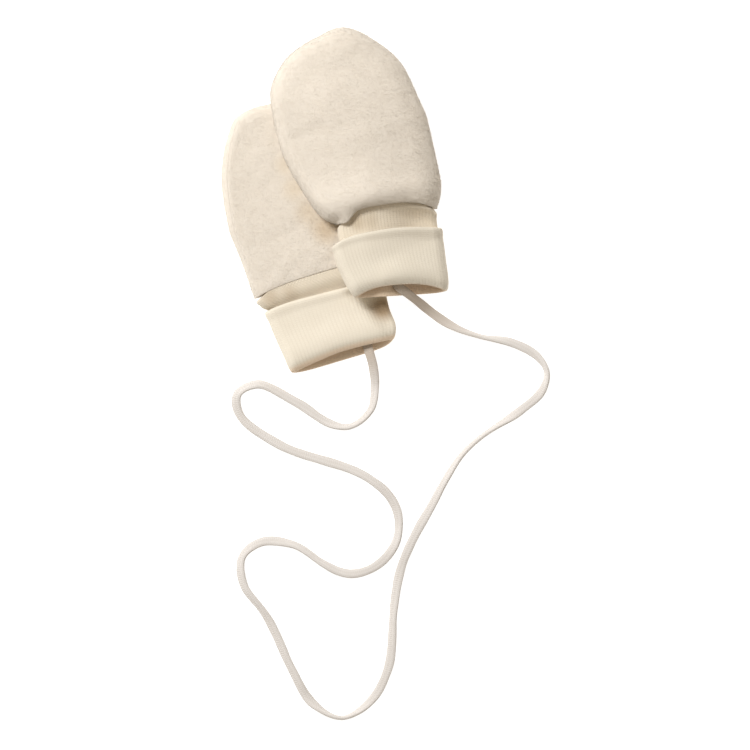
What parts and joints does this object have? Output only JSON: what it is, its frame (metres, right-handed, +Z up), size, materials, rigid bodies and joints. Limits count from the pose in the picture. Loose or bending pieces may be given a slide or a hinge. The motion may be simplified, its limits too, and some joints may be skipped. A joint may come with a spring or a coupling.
{
  "type": "pair of baby mittens",
  "caption": "Thumbless wool fleece baby mittens laid flat and overlapping, with turned-up ribbed cuffs, joined by a long knitted cord from cuff to cuff.",
  "frame": {"origin": "middle of the footprint of the two mittens, without their cord, on the surface that they lie on", "axes": "+Z up from that surface, +Y along the mittens towards their finger tips, +X towards the front mitten's side, so the cord lies towards -Y"},
  "size_m": [0.1631, 0.3463, 0.0247],
  "materials": {
    "fleece": "matt undyed wool fleece with a short soft nap",
    "rib_knit": "matt fine rib knit in undyed wool",
    "cord_knit": "matt flat knitted wool cord"
  },
  "bodies": {
    "root": {"front_top_panel": "fleece", "front_bottom_panel": "fleece", "front_cuff": "rib_knit", "rear_top_panel": "fleece", "rear_bottom_panel": "fleece", "rear_cuff": "rib_knit", "cord": "cord_knit"}
  },
  "joints": []
}
